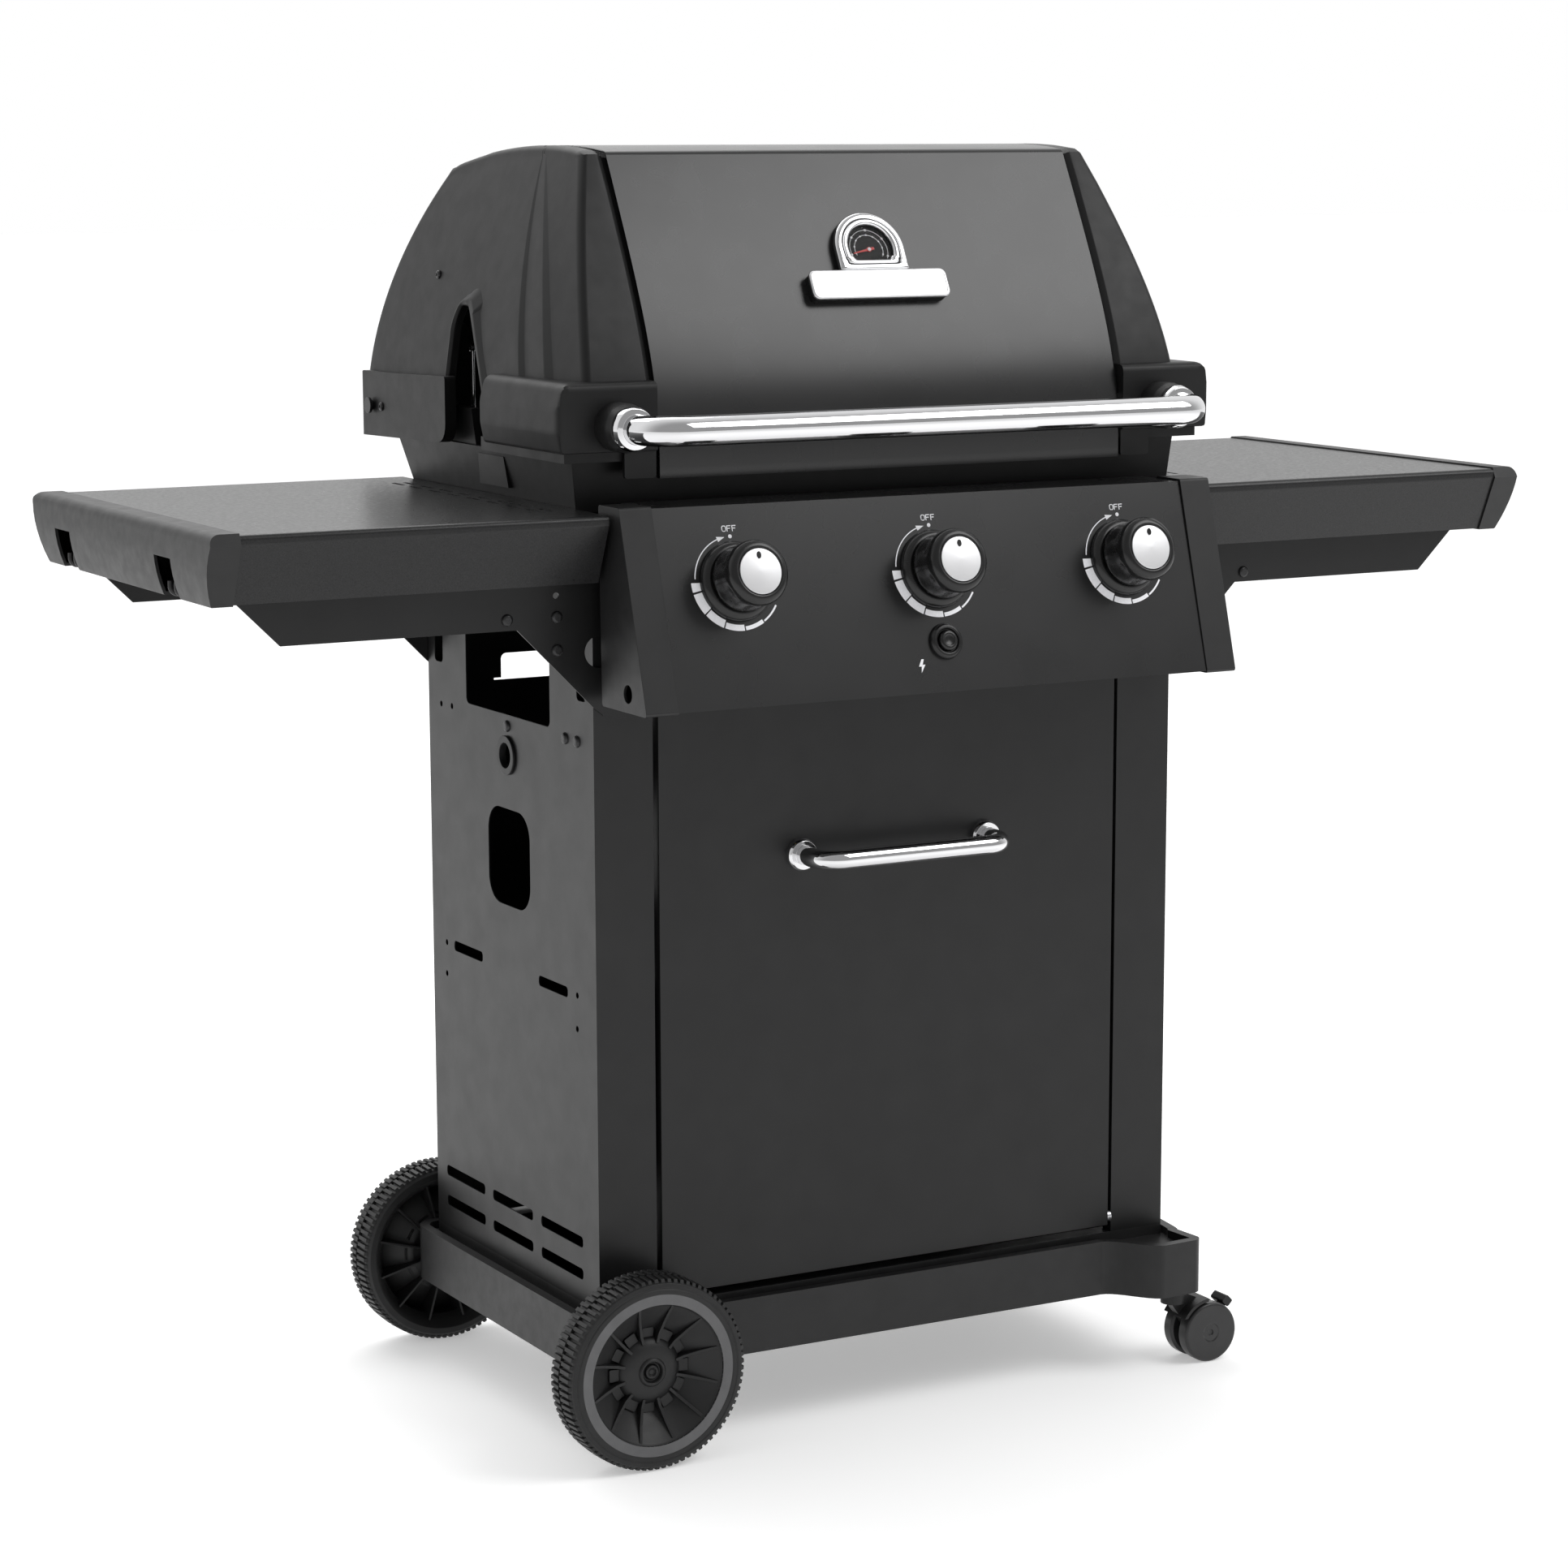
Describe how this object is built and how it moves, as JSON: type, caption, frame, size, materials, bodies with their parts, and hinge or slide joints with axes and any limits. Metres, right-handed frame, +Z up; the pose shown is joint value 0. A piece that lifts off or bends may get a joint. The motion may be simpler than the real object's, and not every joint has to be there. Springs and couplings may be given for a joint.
{
  "type": "gas barbecue grill",
  "caption": "Gas barbecue on a closed wheeled cart with a lidded firebox, turning knobs, fixed side shelves, a tilting front panel and a grease tray.",
  "frame": {"origin": "centre of the footprint's bounding box, on the floor", "axes": "+X to the right along the longest extent, +Y to the back, +Z up; the control panel faces -Y"},
  "size_m": [1.4394, 0.6186, 1.2449],
  "materials": {
    "black_paint": "semi-gloss powder coat",
    "black_enamel": "glossy baked enamel",
    "black_cast": "satin black paint on an aluminium die casting",
    "black_resin": "fine moulded texture",
    "gloss_black": "glossy moulded",
    "shelf_black": "semi-gloss black paint with a fine texture",
    "black_screw": "black oxide",
    "chrome": "polished",
    "steel": "plain zinc-plated",
    "grate_iron": "matt black",
    "brass": "machined",
    "trim_grey": "satin silver-grey",
    "tyre": "hard blow-moulded tread",
    "roller": "satin",
    "dial_face": "printed dial",
    "needle_red": "red lacquer",
    "dial_glass": "clear"
  },
  "bodies": {
    "cart": {"base_frame": "black_resin", "left_side_panel": "black_paint", "right_side_panel": "black_paint", "back_panel": "black_paint", "rear_brace": "black_paint", "front_crossmember": "black_paint", "hose_grommet": "black_resin", "control_panel": "black_enamel", "left_panel_cap": "black_resin", "right_panel_cap": "black_resin", "knob_bezels": "black_resin", "igniter_housing": "gloss_black", "gas_manifold": "steel", "gas_valves": "brass", "firebox": "black_cast", "burners": "steel", "heat_plates": "steel", "cooking_grates": "grate_iron", "warming_rack": "chrome", "lid_hinge_pins": "black_screw", "left_shelf_top": "shelf_black", "right_shelf_top": "shelf_black", "left_shelf_cap": "black_resin", "right_shelf_cap": "black_resin", "left_shelf_brackets": "black_paint", "right_shelf_brackets": "black_paint", "wheel_axle": "steel", "cart_screws": "black_screw", "tray_rails": "black_paint", "door_fittings": "steel"},
    "lid": {"lid_panel": "black_enamel", "left_lid_end": "black_cast", "right_lid_end": "black_cast", "lid_handle_bar": "chrome", "lid_handle_bosses": "black_resin", "gauge_bezel": "chrome", "gauge_dial": "dial_face", "gauge_glass": "dial_glass", "badge_plate": "chrome"},
    "needle": {"gauge_needle": "needle_red"},
    "door": {"door_panel": "black_paint", "door_handle": "chrome"},
    "left_valve": {"valve_plug_left": "brass"},
    "centre_valve": {"valve_plug_centre": "brass"},
    "right_valve": {"valve_plug_right": "brass"},
    "left_knob": {"knob_left": "gloss_black"},
    "centre_knob": {"knob_centre": "gloss_black"},
    "right_knob": {"knob_right": "gloss_black"},
    "igniter": {"igniter_button": "gloss_black"},
    "tray": {"grease_tray": "steel"},
    "front_wheel_body": {"front_wheel": "tyre", "front_wheel_trim": "trim_grey"},
    "rear_wheel_body": {"rear_wheel": "tyre", "rear_wheel_trim": "trim_grey"},
    "front_caster": {"front_caster_yoke": "black_resin"},
    "front_caster_roller": {"front_caster_wheels": "roller"},
    "front_brake": {"front_caster_brake": "black_resin"},
    "rear_caster": {"rear_caster_yoke": "black_resin"},
    "rear_caster_roller": {"rear_caster_wheels": "roller"},
    "rear_brake": {"rear_caster_brake": "black_resin"}
  },
  "joints": [
    {"name": "lid_hinge", "type": "hinge", "parent": "cart", "child": "lid", "pos_m": [0, 0.27531, 0.984], "axis": [-1, 0, 0], "range_deg": [0, 85]},
    {"name": "gauge_needle_turn", "type": "hinge", "parent": "lid", "child": "needle", "pos_m": [0, -0.12119, 1.143], "axis": [0, 0.8829, -0.4695], "range_deg": [0, 204], "stiffness_Nm_per_rad": 0.0005},
    {"name": "door_tilt", "type": "hinge", "parent": "cart", "child": "door", "pos_m": [0, -0.16969, 0.157], "axis": [1, 0, 0], "range_deg": [0, 30]},
    {"name": "left_valve_turn", "type": "hinge", "parent": "cart", "child": "left_valve", "pos_m": [-0.2143, -0.22437, 0.84017], "axis": [0, -0.9591, 0.283], "range_deg": [0, 225]},
    {"name": "left_knob_press", "type": "slide", "parent": "left_valve", "child": "left_knob", "axis": [0, 0.9591, -0.283], "range_m": [0, 0.003], "stiffness_N_per_m": 1500},
    {"name": "centre_valve_turn", "type": "hinge", "parent": "cart", "child": "centre_valve", "pos_m": [0, -0.22437, 0.84017], "axis": [0, -0.9591, 0.283], "range_deg": [0, 225]},
    {"name": "centre_knob_press", "type": "slide", "parent": "centre_valve", "child": "centre_knob", "axis": [0, 0.9591, -0.283], "range_m": [0, 0.003], "stiffness_N_per_m": 1500},
    {"name": "right_valve_turn", "type": "hinge", "parent": "cart", "child": "right_valve", "pos_m": [0.2143, -0.22437, 0.84017], "axis": [0, -0.9591, 0.283], "range_deg": [0, 225]},
    {"name": "right_knob_press", "type": "slide", "parent": "right_valve", "child": "right_knob", "axis": [0, 0.9591, -0.283], "range_m": [0, 0.003], "stiffness_N_per_m": 1500},
    {"name": "igniter_press", "type": "slide", "parent": "cart", "child": "igniter", "axis": [0, 0.9591, -0.283], "range_m": [0, 0.004], "stiffness_N_per_m": 1200},
    {"name": "tray_slide", "type": "slide", "parent": "cart", "child": "tray", "axis": [0, 1, 0], "range_m": [0, 0.3]},
    {"name": "front_wheel_spin", "type": "hinge", "parent": "cart", "child": "front_wheel_body", "pos_m": [-0.3, -0.25068, 0.0949], "axis": [0, 1, 0], "continuous": true},
    {"name": "rear_wheel_spin", "type": "hinge", "parent": "cart", "child": "rear_wheel_body", "pos_m": [-0.3, 0.28331, 0.0949], "axis": [0, 1, 0], "continuous": true},
    {"name": "front_caster_swivel", "type": "hinge", "parent": "cart", "child": "front_caster", "pos_m": [0.322, -0.20169, 0.1], "axis": [0, 0, 1], "continuous": true},
    {"name": "front_caster_roll", "type": "hinge", "parent": "front_caster", "child": "front_caster_roller", "pos_m": [0.356, -0.20169, 0.0315], "axis": [0, 1, 0], "continuous": true},
    {"name": "front_brake_press", "type": "hinge", "parent": "front_caster", "child": "front_brake", "pos_m": [0.378, -0.20169, 0.046], "axis": [0, 1, 0], "range_deg": [0, 15]},
    {"name": "rear_caster_swivel", "type": "hinge", "parent": "cart", "child": "rear_caster", "pos_m": [0.322, 0.23431, 0.1], "axis": [0, 0, 1], "continuous": true},
    {"name": "rear_caster_roll", "type": "hinge", "parent": "rear_caster", "child": "rear_caster_roller", "pos_m": [0.356, 0.23431, 0.0315], "axis": [0, 1, 0], "continuous": true},
    {"name": "rear_brake_press", "type": "hinge", "parent": "rear_caster", "child": "rear_brake", "pos_m": [0.378, 0.23431, 0.046], "axis": [0, 1, 0], "range_deg": [0, 15]}
  ]
}
